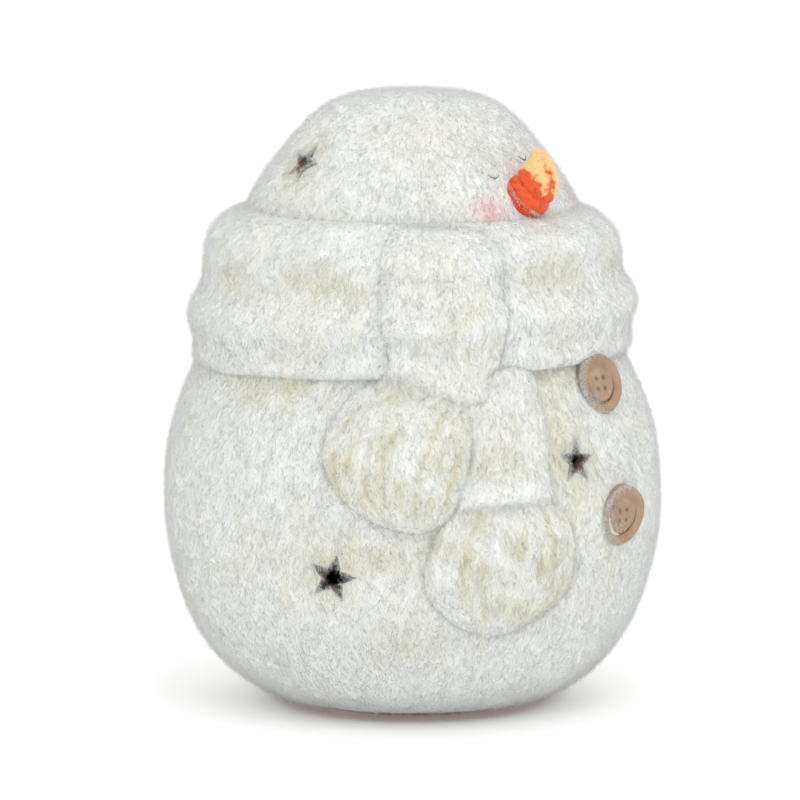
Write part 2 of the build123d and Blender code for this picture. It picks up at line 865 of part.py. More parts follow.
def main():
    os.makedirs("parts", exist_ok=True)
    for name, shape in {**figure_parts(), **light_parts()}.items():
        solids = list(shape) if isinstance(shape, (list, ShapeList)) else list(shape.solids())
        part = solids[0] if len(solids) == 1 else Compound(children=solids)
        export_step(part, f"parts/{name}.step")


main()
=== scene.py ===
"""Flocked clay snowman lantern: coats, fibre pile, nose, buttons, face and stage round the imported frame."""
import math

import bpy
import numpy as np
from bpy.props import FloatProperty, FloatVectorProperty, IntProperty, PointerProperty
from mathutils import Matrix, Vector, noise
from mathutils.bvhtree import BVHTree


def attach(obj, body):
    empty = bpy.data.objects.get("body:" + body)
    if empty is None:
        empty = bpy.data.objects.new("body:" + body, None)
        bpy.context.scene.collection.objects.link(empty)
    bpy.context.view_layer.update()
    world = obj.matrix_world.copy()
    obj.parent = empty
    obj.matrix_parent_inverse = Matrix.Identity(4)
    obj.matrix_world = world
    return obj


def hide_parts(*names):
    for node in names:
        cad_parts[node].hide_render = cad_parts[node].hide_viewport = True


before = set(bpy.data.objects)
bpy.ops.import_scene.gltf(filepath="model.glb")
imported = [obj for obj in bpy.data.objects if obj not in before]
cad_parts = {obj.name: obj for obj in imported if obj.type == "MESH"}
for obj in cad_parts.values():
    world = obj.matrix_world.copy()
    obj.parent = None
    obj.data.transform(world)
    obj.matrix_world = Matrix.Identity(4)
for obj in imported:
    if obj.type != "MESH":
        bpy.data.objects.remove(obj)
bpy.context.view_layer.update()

bl_info = {
    "name": "Flocked snowman lantern",
    "version": (1, 0, 0),
    "blender": (4, 5, 0),
    "location": "View3D > Sidebar > Snowman",
    "description": "Builds the looks of a flocked clay snowman lantern round its fixed frame",
    "category": "Object",
}

MM = 0.001
FIGURE = "figure"
VIEW_ANGLE = -56.0
UP = Vector((0, 0, 1))
# Share of a star's size at its inner corners.
STAR_NOTCH = 0.47
# Pierced stars: angle from the front, height, roll, size.
STAR_SITES = (
    (-112, 197.0, 12, 8.4),
    (104, 190.0, -15, 8.4),
    (-75, 56.5, 14, 9.0),
    (-14, 95.5, 6, 8.0),
    (66, 60.0, -8, 8.4),
    (128, 98.0, 20, 8.4),
    (-166, 92.0, -12, 8.4),
)


# ---------------------------------------------------------------- sizes and colours

def length_of(name, description, default):
    """A length that can be set."""
    return FloatProperty(name=name, description=description, default=default, unit="LENGTH")


def color_of(name, description, default):
    """A colour that can be set."""
    return FloatVectorProperty(name=name, description=description, default=default, subtype="COLOR", size=3)


class CoatSizes(bpy.types.PropertyGroup):
    """Sizes of the flock coat."""
    spacing: length_of("Spacing", "Distance between points of the coat", 1.9 * MM)
    lump: length_of("Lumps", "Height of the soft lumps", 0.5 * MM)
    thickness: length_of("Thickness", "Thickness of the coat", 1.1 * MM)
    sink: length_of("Sink", "How far the coat lies under the fibre tips", 0.8 * MM)


class PileSizes(bpy.types.PropertyGroup):
    """Sizes and colours of the fibre pile."""
    density: FloatProperty(
        name="Density", description="Fibres per square millimetre", default=2.55, min=0.1)
    length: length_of("Length", "Usual length of a fibre", 3.9 * MM)
    width: length_of("Width", "Width of a fibre at its root", 0.118 * MM)
    seed: IntProperty(name="Seed", description="Seed of the scatter", default=11)
    white: color_of("White", "Colour of the bright fibres", (0.845, 0.863, 0.842))
    # The warm fibre colour is the painted shade of the folds.
    warm: color_of("Warm", "Colour of the fibres in the folds", (0.75, 0.73, 0.585))
    blush: color_of("Blush", "Colour of the fibres on the cheeks", (0.86, 0.55, 0.56))


class FaceSizes(bpy.types.PropertyGroup):
    """Sizes and colours of the nose, buttons and face paint."""
    nose_orange: color_of("Nose orange", "Main colour of the nose", (0.80, 0.085, 0.006))
    nose_straw: color_of("Nose straw", "Colour of the rubbed tip", (0.84, 0.55, 0.22))
    button_brown: color_of("Button brown", "Colour of the button wash", (0.42, 0.285, 0.18))
    button_radius: length_of("Button radius", "Radius of a coat button", 11.0 * MM)
    nose_radius: length_of("Nose radius", "Radius of the nose at its base", 8.6 * MM)
    eye_width: length_of("Eye width", "Width of a closed eye", 4.6 * MM)


class StageSizes(bpy.types.PropertyGroup):
    """Camera and light settings."""
    distance: length_of("Camera distance", "Camera distance from the axis", 2.2)
    elevation: FloatProperty(
        name="Camera elevation", description="Camera height angle in degrees", default=8.0)
    view_width: length_of("View width", "Width seen at the axis", 0.288)


# ---------------------------------------------------------------- shader helpers

class Signal:
    """A socket that adds Math nodes when it is used in an expression."""

    def __init__(self, shade, socket):
        self.shade, self.socket = shade, socket

    def math(self, operation, first, second):
        return self.shade.node("ShaderNodeMath", {"operation": operation}, {0: first, 1: second})

    def __add__(self, other):
        return self.math("ADD", self, other)

    __radd__ = __add__

    def __mul__(self, other):
        return self.math("MULTIPLY", self, other)

    __rmul__ = __mul__

    def __sub__(self, other):
        return self.math("SUBTRACT", self, other)

    def __rsub__(self, other):
        return self.math("SUBTRACT", other, self)


class Shade:
    """A node material with one Principled shader."""

    def __init__(self, name, **constants):
        self.material = bpy.data.materials.new(name)
        self.material.use_nodes = True
        self.tree = self.material.node_tree
        self.shader = next(n for n in self.tree.nodes if n.type == "BSDF_PRINCIPLED")
        for key, value in constants.items():
            self.feed(self.shader.inputs[key.replace("_", " ")], value)

    def feed(self, socket, value):
        if isinstance(value, Signal):
            self.tree.links.new(value.socket, socket)
        elif isinstance(value, (tuple, list)) and len(value) == 3 and socket.type == "RGBA":
            socket.default_value = (*value, 1.0)
        else:
            socket.default_value = value

    def node(self, kind, settings=None, inputs=None, out=0):
        made = self.tree.nodes.new(kind)
        for key, value in (settings or {}).items():
            if key == "stops":
                self.set_stops(made.color_ramp, value)
            else:
                setattr(made, key, value)
        for key, value in (inputs or {}).items():
            self.feed(made.inputs[key], value)
        return Signal(self, made.outputs[out])

    @staticmethod
    def set_stops(ramp, stops):
        while len(ramp.elements) < len(stops):
            ramp.elements.new(0.5)
        for element, (place, level) in zip(ramp.elements, stops):
            element.position = place
            element.color = (level, level, level, 1.0)

    def noise(self, scale, detail=3.0, stretch=(1.0, 1.0, 1.0)):
        """Noise on the object's own coordinates, stretched."""
        where = self.node("ShaderNodeTexCoord", out="Object")
        place = self.node("ShaderNodeMapping", None, {"Vector": where, "Scale": stretch})
        values = {"Vector": place, "Scale": scale, "Detail": detail, "Roughness": 0.55}
        return self.node("ShaderNodeTexNoise", None, values)

    def ramp(self, value, *stops):
        return self.node("ShaderNodeValToRGB", {"stops": stops}, {"Fac": value})

    def mix(self, factor, first, second):
        values = {"Factor": factor, 6: first, 7: second}
        return self.node("ShaderNodeMix", {"data_type": "RGBA"}, values, out=2)

    def attribute(self, name):
        return self.node("ShaderNodeAttribute", {"attribute_name": name}, out="Fac")

    def finish(self, color, roughness=None, bump=None, depth=0.1, reach=1 * MM):
        """Feeds what varies over the surface."""
        self.feed(self.shader.inputs["Base Color"], color)
        if roughness is not None:
            self.feed(self.shader.inputs["Roughness"], roughness)
        if bump is not None:
            values = {"Strength": depth, "Distance": reach, "Height": bump}
            self.feed(self.shader.inputs["Normal"], self.node("ShaderNodeBump", None, values))
        return self.material


# ---------------------------------------------------------------- shape helpers

def facing(angle, lift=0.0):
    """Unit vector at an angle from the front towards +X, raised by a lift, in degrees."""
    a, b = math.radians(angle), math.radians(lift)
    return Vector((math.sin(a) * math.cos(b), -math.cos(a) * math.cos(b), math.sin(b)))


def smooth_through(where, keys, values):
    """Smooth curve through key values, read at the given places."""
    keys, values = np.asarray(keys, float), np.asarray(values, float)
    slopes = np.gradient(values, keys)
    at = np.clip(np.asarray(where, float), keys[0], keys[-1])
    i = np.clip(np.searchsorted(keys, at, side="right") - 1, 0, len(keys) - 2)
    gap = keys[i + 1] - keys[i]
    t = (at - keys[i]) / gap
    rise = (1 + 2 * t) * (1 - t) ** 2 * values[i] + t * t * (3 - 2 * t) * values[i + 1]
    return rise + t * (1 - t) ** 2 * gap * slopes[i] + t * t * (t - 1) * gap * slopes[i + 1]


def bell(distance, reach):
    """Smooth bump from 1 at 0 to nearly 0 past the reach."""
    return np.exp(-np.square(np.asarray(distance) / reach))


def lumps(points, size, seed):
    """Perlin noise at each point, in features of the given size in metres."""
    shift = Vector((seed * 3.1, seed * 1.7, seed * 2.3))
    return np.array([noise.noise(Vector(p) / size + shift) for p in points])


def coat_section():
    """Outer section of the flocked figure, radius and height from foot to crown, in metres."""
    clay = BVHTree.FromObject(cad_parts["clay_body"], bpy.context.evaluated_depsgraph_get())
    rows = []
    for name in ("body_flock", "head_flock"):
        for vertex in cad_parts[name].data.vertices:
            x, y, z = vertex.co
            if abs(y) < 0.01 * MM and x >= 0 and clay.find_nearest(vertex.co)[3] > 1.5 * MM:
                rows.append((z, x))
    rows.sort(key=lambda row: math.atan2(row[0] - 100 * MM, row[1]))
    heights, radii = zip(*rows)
    return np.array(radii), np.array(heights)


def resampled_section(spacing):
    """The section at even steps, with its outward normals."""
    radii, heights = coat_section()
    steps = np.hypot(np.diff(radii), np.diff(heights))
    run = np.concatenate([[0], np.cumsum(np.maximum(steps, 1e-7))])
    at = np.linspace(0, run[-1], int(run[-1] / spacing) + 1)
    r, z = np.interp(at, run, radii), np.interp(at, run, heights)
    for _ in range(3):
        r[1:-1] = (r[:-2] + 2 * r[1:-1] + r[2:]) / 4
        z[1:-1] = (z[:-2] + 2 * z[1:-1] + z[2:]) / 4
    along = np.stack([np.gradient(r), np.gradient(z)])
    along /= np.linalg.norm(along, axis=0)
    return r, z, along[1], -along[0]


def figure_radius(height):
    """Radius of the flocked figure at a height, both in metres."""
    radii, heights = coat_section_cache
    return np.interp(height, heights, radii)


def new_object(name, mesh):
    """Links a mesh as an object at the origin."""
    piece = bpy.data.objects.new(name, mesh)
    bpy.context.scene.collection.objects.link(piece)
    return piece


def mesh_from(name, points, faces, **attributes):
    """Mesh from points and faces, with float attributes on its points."""
    mesh = bpy.data.meshes.new(name)
    mesh.from_pydata([tuple(p) for p in points], [], [tuple(int(i) for i in f) for f in faces])
    for key, values in attributes.items():
        layer = mesh.attributes.new(key, "FLOAT", "POINT")
        layer.data.foreach_set("value", np.asarray(values, np.float32))
    mesh.update()
    return mesh


def select_only(piece):
    """Makes a piece the only one selected, and active."""
    bpy.ops.object.select_all(action="DESELECT")
    piece.select_set(True)
    bpy.context.view_layer.objects.active = piece


def apply_modifier(piece, kind, **settings):
    """Adds a modifier with its settings and applies it."""
    modifier = piece.modifiers.new(kind.title(), kind)
    for key, value in settings.items():
        setattr(modifier, key, value)
    select_only(piece)
    bpy.ops.object.modifier_apply(modifier=modifier.name)


def recalculated(piece):
    """Turns every face outwards and shades it smooth."""
    select_only(piece)
    bpy.ops.object.mode_set(mode="EDIT")
    bpy.ops.mesh.select_all(action="SELECT")
    bpy.ops.mesh.normals_make_consistent(inside=False)
    bpy.ops.object.mode_set(mode="OBJECT")
    bpy.ops.object.shade_smooth()


def grid_faces(rows, columns, wrap_rows=False):
    """Quads of rings of points, ring by ring."""
    faces = []
    for i in range(rows if wrap_rows else rows - 1):
        for j in range(columns):
            a, b = i * columns + j, i * columns + (j + 1) % columns
            c, d = ((i + 1) % rows) * columns + (j + 1) % columns, ((i + 1) % rows) * columns + j
            faces.append((a, b, c, d))
    return faces


def capped_rings(name, points, segments, **attributes):
    """Closed skin through rings of points, capped at both ends."""
    count = len(points)
    faces = grid_faces(count // segments, segments)
    middles = [sum(ring, Vector()) / segments for ring in (points[:segments], points[-segments:])]
    start = count - segments
    for j in range(segments):
        following = (j + 1) % segments
        faces.append((following, j, count))
        faces.append((start + j, start + following, count + 1))
    piece = new_object(name, mesh_from(name, points + middles, faces, **attributes))
    recalculated(piece)
    return piece


def outward_from(points):
    """Level unit vectors from the figure's axis to each point."""
    outward = points * np.array([1, 1, 0])
    return outward / np.maximum(np.linalg.norm(outward, axis=1)[:, None], 1e-9)


def finish_piece(piece, material, *replaced, slot):
    """Gives a piece its material and body, and hides the nodes it stands for. The slot is not used."""
    piece.data.materials.clear()
    piece.data.materials.append(material)
    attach(piece, FIGURE)
    if replaced:
        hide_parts(*replaced)


# ---------------------------------------------------------------- materials

def felt_material():
    """Felted ground under the pile: white and cream, with painted shade, tinted ochre, in the folds."""
    shade = Shade("felt_ground", Roughness=0.95, Sheen_Weight=0.3)
    broad = shade.ramp(shade.noise(45, 3.0), (0.45, 0.0), (0.75, 1.0))
    streak = shade.noise(1100, 3.0, (1.0, 1.0, 0.2))
    warm = shade.mix(broad, (0.90, 0.91, 0.89), (0.86, 0.85, 0.76))
    # Painted shade: the ground turns dark ochre where the fold shade is high.
    deep = shade.mix(shade.attribute("fold"), warm, (0.67, 0.62, 0.41))
    blushed = shade.mix(shade.attribute("blush"), deep, (0.88, 0.60, 0.60))
    return shade.finish(blushed, 0.85 + 0.12 * streak, streak, 0.15, 0.25 * MM)


# Places of three tints in the list of fibre tints.
GREY_TINT, PALE_BLUSH, FULL_BLUSH = 4, 5, 6


def pile_materials(sizes):
    """Plain tints of the fibres, bright to deep, then a grey and the blush; the deeper tints are painted
    shade for fibres in the folds.
    """
    white, warm, blush = Vector(sizes.white), Vector(sizes.warm), Vector(sizes.blush)
    tints = [white.lerp(warm, share) for share in (0.0, 0.25, 0.6, 1.0)]
    tints += [white * 0.96, white.lerp(blush, 0.5), blush]
    for i, tint in enumerate(tints):
        Shade(f"fibre_tint_{i}", Roughness=0.9, Sheen_Weight=0.25, Base_Color=tuple(tint),
              Subsurface_Weight=0.35, Subsurface_Scale=1.5 * MM)


def speckled(name, color, other, scale, rough, bump=0.15, metallic=0.0):
    """General finish: two tones in a fine grain, with its own roughness and relief."""
    shade = Shade(name, Metallic=metallic)
    grain = shade.noise(scale, 4.0)
    tone = shade.ramp(grain, (0.35, 0.0), (0.7, 1.0))
    return shade.finish(shade.mix(tone, color, other), rough + 0.12 * grain, grain, bump, 0.2 * MM)


def terracotta_material():
    """Bare fired clay with dusty patches and fine grit."""
    shade = Shade("terracotta")
    patch = shade.ramp(shade.noise(60, 4.0), (0.35, 0.0), (0.75, 1.0))
    grit = shade.noise(1800, 4.0)
    base = shade.mix(patch, (0.36, 0.16, 0.09), (0.50, 0.30, 0.20))
    gritty = shade.mix(grit * 0.35, base, (0.20, 0.09, 0.05))
    return shade.finish(gritty, 0.78 + 0.2 * grit, grit, 0.35, 0.3 * MM)


# ---------------------------------------------------------------- coats

def star_spots():
    """Centre, outward normal, roll and size of each pierced star."""
    spots = []
    for angle, height, roll, size in STAR_SITES:
        z = height * MM
        radius = float(figure_radius(z))
        rise = float(figure_radius(z - 2 * MM) - figure_radius(z + 2 * MM)) / (4 * MM)
        lift = math.degrees(math.atan(rise))
        spots.append((facing(angle) * radius + Vector((0, 0, z)), facing(angle, lift), roll, size * MM))
    return spots


# Coat buttons: height, sink into the coat, turn from the front, lift.
BUTTON_SITES = ((120, 0.0, -8, 15), (74, 0.6, -10, -8))


def button_places():
    """Centre and facing direction of each coat button."""
    places = []
    for height, sink, turn, lift in BUTTON_SITES:
        radius = float(figure_radius(height * MM)) - sink * MM
        places.append((Vector((0, -radius, height * MM)), facing(turn, lift)))
    return places


def nose_place():
    """Centre of the nose's base and the direction it points in."""
    height = 185.6 * MM
    base = facing(-9) * (float(figure_radius(height)) - 2 * MM) + Vector((0, 0, height))
    return base, facing(12, 42)


def skin_relief(points):
    """Inward dips round the stars, by point."""
    dip = np.zeros(len(points))
    for centre, _, _, size in star_spots():
        distance = np.linalg.norm(points - np.array(centre), axis=1)
        dip += 1.2 * MM * bell(distance, size * 1.1)
    return dip


# Warm-tinted patches of painted shade on the coat, mostly along the edges of the scarf band and its front
# end: angle from the front, height, reach across, reach up, strength.
SHADE_PATCHES = (
    (-48, 68, 34, 12, 0.45),
    (-24, 112, 14, 22, 0.60),
    (-92, 121, 30, 7, 0.55),
    (-10, 124, 26, 6, 0.35),
    (-74, 66, 16, 9, 0.35),
    (-60, 34, 40, 10, 0.25),
    (-6, 60, 14, 20, 0.25),
    (-98, 179, 12, 6, 0.45),
    (-20, 178, 24, 5, 0.30),
)


def shade_patches_at(points):
    """Strength of the painted shade patches at each point."""
    total = np.zeros(len(points))
    heights = points[:, 2]
    for angle, height, across, up, strength in SHADE_PATCHES:
        aim = facing(angle)
        side = np.array(facing(angle + 90))
        ahead = points @ np.array(aim) > 0
        off, above = points @ side / (across * MM), (heights - height * MM) / (up * MM)
        total += strength * np.exp(-np.square(off) - np.square(above)) * ahead
    rough = lumps(points, 9 * MM, 61) + 0.7 * lumps(points, 22 * MM, 62)
    return total * np.clip(0.75 + 0.9 * rough, 0, 2)


# Painted blush: angle from the front, height, reach, strength.
BLUSHES = ((-28, 181.5, 5.5, 0.9), (26, 185, 5.5, 0.7), (1, 174.5, 3.0, 0.6), (-16, 181, 6.0, 0.25))


def blush_at(points):
    """Strength of the painted blush at each point."""
    total = np.zeros(len(points))
    for angle, height, reach, strength in BLUSHES:
        centre = facing(angle) * float(figure_radius(height * MM)) + Vector((0, 0, height * MM))
        total += strength * bell(np.linalg.norm(points - np.array(centre), axis=1), reach * MM)
    return total


def turned_coat(name, low, high, sizes, seed):
    """Closed shell of the figure's coat between two heights, pierced by the stars."""
    r, z, nr, nz = resampled_section(sizes.spacing)
    keep = (z >= low) & (z <= high)
    r, z, nr, nz = r[keep], z[keep], nr[keep], nz[keep]
    columns = int(2 * math.pi * r.max() / sizes.spacing / 2) * 2
    angles = np.linspace(0, 2 * math.pi, columns, endpoint=False)
    around = np.stack([np.sin(angles), -np.cos(angles)], axis=1)
    capped = r[-1] < 3 * MM
    if capped:
        r, z, nr, nz = r[:-1], z[:-1], nr[:-1], nz[:-1]
    points = np.concatenate([np.column_stack([around * a, np.full(columns, b)]) for a, b in zip(r, z)])
    normals = np.concatenate([np.column_stack([around * a, np.full(columns, b)]) for a, b in zip(nr, nz)])
    broad = lumps(points, 26 * MM, seed)
    fine = lumps(points * np.array([1, 1, 0.5]), 5 * MM, seed + 1)
    dip = skin_relief(points)
    depth = sizes.lump * (broad + 0.2 * fine) - sizes.sink - dip
    # Painted shade: strongest in the shade patches, in the low parts of the lumps and in the dips round the
    # stars.
    patch_shade = shade_patches_at(points)
    fold = np.clip(0.9 * patch_shade - 0.1 * broad - 0.1 * fine + 0.5 * dip / MM, 0, 1)
    points = points + normals * depth[:, None]
    faces = grid_faces(len(r), columns)
    if capped:
        top = points[-columns:].mean(axis=0)
        points = np.vstack([points, top])
        fold = np.append(fold, 0)
        first = (len(r) - 1) * columns
        faces += [(first + j, first + (j + 1) % columns, len(points) - 1) for j in range(columns)]
    piece = new_object(name, mesh_from(name, points, faces, fold=fold, blush=blush_at(points)))
    apply_modifier(piece, "SOLIDIFY", thickness=sizes.thickness, offset=-1.0, use_rim=True)
    pierce(piece)
    recalculated(piece)
    return piece


def across_and_up(normal):
    """Unit vectors that lie across a normal, level and upwards."""
    across = UP.cross(normal).normalized()
    return across, normal.cross(across)


def star_frame(normal, roll):
    """Turns a flat star to face along a normal, rolled about it."""
    across, up = across_and_up(normal)
    return Matrix((across, up, normal)).transposed() @ Matrix.Rotation(math.radians(-roll), 3, "Z")


def star_cutter(centre, normal, roll, size):
    """Star-shaped prism through the coat."""
    bpy.ops.object.select_all(action="DESELECT")
    bpy.ops.mesh.primitive_cylinder_add(vertices=10, radius=size, depth=24 * MM)
    cutter = bpy.context.active_object
    for vertex in cutter.data.vertices:
        turn = round(math.degrees(math.atan2(vertex.co.x, vertex.co.y)) / 36)
        if turn % 2:
            vertex.co.x *= STAR_NOTCH
            vertex.co.y *= STAR_NOTCH
    cutter.data.transform(Matrix.Translation(centre) @ star_frame(normal, roll).to_4x4())
    return cutter


def pierce(piece):
    """Cuts every star through a coat."""
    for spot in star_spots():
        cutter = star_cutter(*spot)
        apply_modifier(piece, "BOOLEAN", object=cutter, operation="DIFFERENCE", solver="EXACT")
        bpy.data.meshes.remove(cutter.data)


class BodyCoat(bpy.types.Operator):
    """Flock coat of the body, from the bare foot to inside the scarf"""
    bl_idname = "snowman.body_coat"
    bl_label = "Body coat"

    def execute(self, context):
        piece = turned_coat("body_coat", 1.6 * MM, 136 * MM, context.scene.snowman_coat, 3)
        finish_piece(piece, felt_material(), "body_flock", slot="white_flock")
        return {"FINISHED"}


class HeadCoat(bpy.types.Operator):
    """Flock coat of the head, with its cheek blush"""
    bl_idname = "snowman.head_coat"
    bl_label = "Head coat"

    def execute(self, context):
        piece = turned_coat("head_coat", 166 * MM, 1.0, context.scene.snowman_coat, 8)
        finish_piece(piece, bpy.data.materials["felt_ground"], "head_flock", slot="white_flock")
        return {"FINISHED"}


def wrap_tilt(angle, height):
    """How far the scarf band is raised at an angle from the front, fading out at its top."""
    share = np.clip((WRAP_LEVEL - np.asarray(height)) / WRAP_FADE, 0, 1)
    return WRAP_RISE * np.cos(np.radians(np.asarray(angle) - 5)) * share


# The band's level top, the height over which its tilt fades below that, and the tilt itself.
WRAP_LEVEL, WRAP_FADE, WRAP_RISE = 172 * MM, 30 * MM, 3.2 * MM
# The band's section: heights and the radius at each.
WRAP_HEIGHTS = (124, 127, 130, 133, 137, 141, 144, 148, 152, 156, 162, 167, 171, 174, 177, 179)
WRAP_RADII = (77.0, 78.6, 78.9, 78.7, 79.5, 80.5, 80.4, 79.0, 76.3, 74.9, 74.4, 73.6, 71.6, 68.6, 63.5, 58.0)


def wrap_radius(angle, height):
    """Outer radius of the scarf band, in metres."""
    z = height - wrap_tilt(angle, height)
    return smooth_through(z, np.array(WRAP_HEIGHTS) * MM, np.array(WRAP_RADII) * MM)


class ScarfWrap(bpy.types.Operator):
    """Scarf band round the neck: two soft rolls and a hem"""
    bl_idname = "snowman.scarf_wrap"
    bl_label = "Scarf band"

    def execute(self, context):
        sizes = context.scene.snowman_coat
        outer = np.linspace(124.5, 178.6, 52) * MM
        inner = np.linspace(177, 126, 12) * MM
        columns = 320
        angles = np.linspace(0, 360, columns, endpoint=False)
        rows = []
        for z in outer:
            height = z + wrap_tilt(angles, z)
            rows.append((wrap_radius(angles, height), height))
        for z in inner:
            height = z + wrap_tilt(angles, z)
            rows.append((figure_radius(height) - 4 * MM, height))
        around = np.radians(angles)
        level = np.stack([np.sin(around), -np.cos(around)])
        points = np.concatenate([np.column_stack([*(level * r), z]) for r, z in rows])
        outward = outward_from(points)
        broad = lumps(points, 30 * MM, 21)
        fine = lumps(points * np.array([1, 1, 1.6]), 9 * MM, 22)
        shown = np.repeat(np.arange(len(rows)) < len(outer), columns)
        points += outward * (shown * (1.2 * MM * broad + 0.3 * MM * fine - sizes.sink))[:, None]
        rise = points[:, 2] - np.tile(wrap_tilt(angles, 150 * MM), len(rows))
        # Painted shade in the hollow between the band's two rolls and, fainter, near its lower edge, broken
        # into patches.
        hollow = bell(rise - 158.5 * MM, 6.5 * MM) + 0.3 * bell(rise - 131 * MM, 3 * MM)
        patches = np.clip(0.5 + 1.4 * lumps(points, 20 * MM, 23), 0, 1)
        fold = np.clip(0.42 * hollow * patches - 0.12 * fine, 0, 1)
        mesh = mesh_from("scarf_band", points, grid_faces(len(rows), columns, wrap_rows=True),
                         fold=fold, blush=np.zeros(len(points)))
        piece = new_object("scarf_band", mesh)
        recalculated(piece)
        felt = bpy.data.materials["felt_ground"]
        finish_piece(piece, felt, "scarf_wrap", "scarf_wrap_flock", slot="white_flock")
        return {"FINISHED"}


# A scarf end is a list of stations from top to tip:
# run, left angle, left height, right angle, right height, lift, rib height, hem height.
FRONT_END = (
    (0.00, -50, 178.5, -44, 178.5, -0.5, 0.0, 0.0),
    (0.025, -60, 177.0, -36, 176.5, 1.2, 0.0, 0.0),
    (0.07, -63.5, 172.5, -31.5, 171.5, 3.6, 0.2, 0.0),
    (0.18, -64.8, 160.0, -30.6, 158.0, 5.0, 0.4, 0.0),
    (0.32, -64.5, 146.0, -31.2, 140.0, 4.8, 0.5, 0.0),
    (0.41, -63.0, 136.5, -32.8, 128.0, 4.2, 0.4, 0.3),
    (0.445, -62.0, 132.5, -34.2, 122.0, 5.2, 0.1, 2.6),
    (0.475, -62.5, 129.5, -35.5, 118.0, 5.2, 0.1, 2.6),
    (0.505, -65.5, 126.5, -37.0, 114.5, 4.0, 0.5, -0.8),
    (0.57, -71.0, 121.0, -39.3, 109.0, 6.6, 1.0, 0.0),
    (0.67, -76.4, 110.0, -41.8, 100.0, 8.4, 1.2, 0.0),
    (0.78, -77.4, 98.0, -43.8, 91.0, 8.8, 1.2, 0.0),
    (0.89, -73.5, 86.5, -46.0, 82.0, 7.4, 1.1, 0.0),
    (0.96, -66.5, 78.5, -49.5, 76.0, 4.0, 0.7, 0.0),
    (1.00, -58.0, 73.0, -54.0, 72.5, -0.5, 0.0, 0.0),
)
BACK_END = (
    (0.00, -42, 141.0, -24, 141.0, 1.0, 0.0, 0.0),
    (0.05, -45, 134.0, -22.8, 134.0, 3.0, 0.3, 0.0),
    (0.18, -45, 119.0, -21.8, 119.0, 4.2, 0.5, 0.0),
    (0.32, -45, 104.0, -22.4, 104.0, 4.2, 0.5, 0.0),
    (0.44, -45.3, 91.0, -22.8, 92.5, 3.6, 0.4, 0.2),
    (0.475, -45.8, 87.5, -22.8, 89.0, 4.4, 0.1, 2.6),
    (0.515, -46.0, 84.0, -22.4, 85.5, 4.4, 0.1, 2.6),
    (0.545, -47.0, 81.5, -22.0, 83.0, 3.4, 0.5, -0.8),
    (0.60, -49.5, 76.0, -19.0, 77.5, 5.6, 1.0, 0.0),
    (0.69, -52.8, 67.0, -16.4, 68.5, 7.2, 1.2, 0.0),
    (0.79, -53.6, 56.0, -15.4, 57.5, 7.8, 1.2, 0.0),
    (0.89, -50.0, 45.5, -18.8, 46.5, 6.4, 1.1, 0.0),
    (0.96, -43.5, 38.5, -26.5, 39.0, 3.4, 0.6, 0.0),
    (1.00, -37.0, 34.6, -33.0, 34.6, -0.5, 0.0, 0.0),
)


def under_radius(angle, height, over_wrap):
    """Radius of what a scarf end lies on."""
    figure = figure_radius(height)
    if not over_wrap:
        return figure
    band = wrap_radius(angle, height)
    blend = np.clip((height - 122 * MM) / (8 * MM), 0, 1)
    return np.maximum(figure, band * blend + figure * (1 - blend))


def scarf_end(name, stations, over_wrap, seed):
    """Closed soft strip that follows the figure, ribbed along its fringe."""
    keys = [row[0] for row in stations]
    rows, half, ribs = 96, 30, 9
    runs = np.linspace(0, 1, rows)
    left_a, left_z, right_a, right_z, lift, rib, hem = (
        smooth_through(runs, keys, [row[i] for row in stations]) for i in range(1, 8)
    )
    across = np.sin(np.linspace(-1, 1, 2 * half + 1) * math.pi / 2)
    crown = np.power(np.clip(1 - np.abs(across) ** 2.4, 0, 1), 1 / 1.1)
    points, folds = [], []
    for i in range(rows):
        share = (across + 1) / 2
        angle = left_a[i] + share * (right_a[i] - left_a[i])
        height = (left_z[i] + share * (right_z[i] - left_z[i])) * MM
        wave = np.cos(across * ribs * math.pi + 0.6 * math.sin(runs[i] * 9 + seed))
        rise = (lift[i] * crown + (rib[i] * 0.22 * wave + hem[i] * 0.75) * np.sqrt(crown)) * MM
        under = under_radius(angle, height, over_wrap) - 0.6 * MM
        top = under + rise
        low = under - 1.6 * MM
        ring_r = np.concatenate([top, low[::-1]])
        ring_a = np.radians(np.concatenate([angle, angle[::-1]]))
        ring_z = np.concatenate([height, height[::-1]])
        points.append(np.column_stack([ring_r * np.sin(ring_a), -ring_r * np.cos(ring_a), ring_z]))
        # Painted shade: darker in the valleys between the ribs and along the ribbed fringe, lighter on the
        # raised hem, half dark on the hidden underside.
        valley = np.clip(-wave, 0, 1) * rib[i] * 0.26 + 0.24 * rib[i] - 0.25 * max(hem[i], 0)
        folds.append(np.concatenate([valley, np.full(len(low), 0.5)]))
    points, folds = np.concatenate(points), np.concatenate(folds)
    outward = outward_from(points)
    loop = 2 * (2 * half + 1)
    shown = np.tile(np.arange(loop) < 2 * half + 1, rows)
    broad = lumps(points, 16 * MM, seed)
    patches = np.clip(0.7 + 1.8 * lumps(points, 9 * MM, seed + 2), 0, 1.8)
    points += outward * (shown * (0.9 * MM * broad - 0.3 * MM))[:, None]
    faces = grid_faces(rows, loop)
    faces += [tuple(range(loop))[::-1], tuple((rows - 1) * loop + j for j in range(loop))]
    fold = np.clip(folds * patches - 0.1 * broad, 0, 1)
    piece = new_object(name, mesh_from(name, points, faces, fold=fold, blush=np.zeros(len(points))))
    apply_modifier(piece, "TRIANGULATE", min_vertices=5)
    recalculated(piece)
    return piece


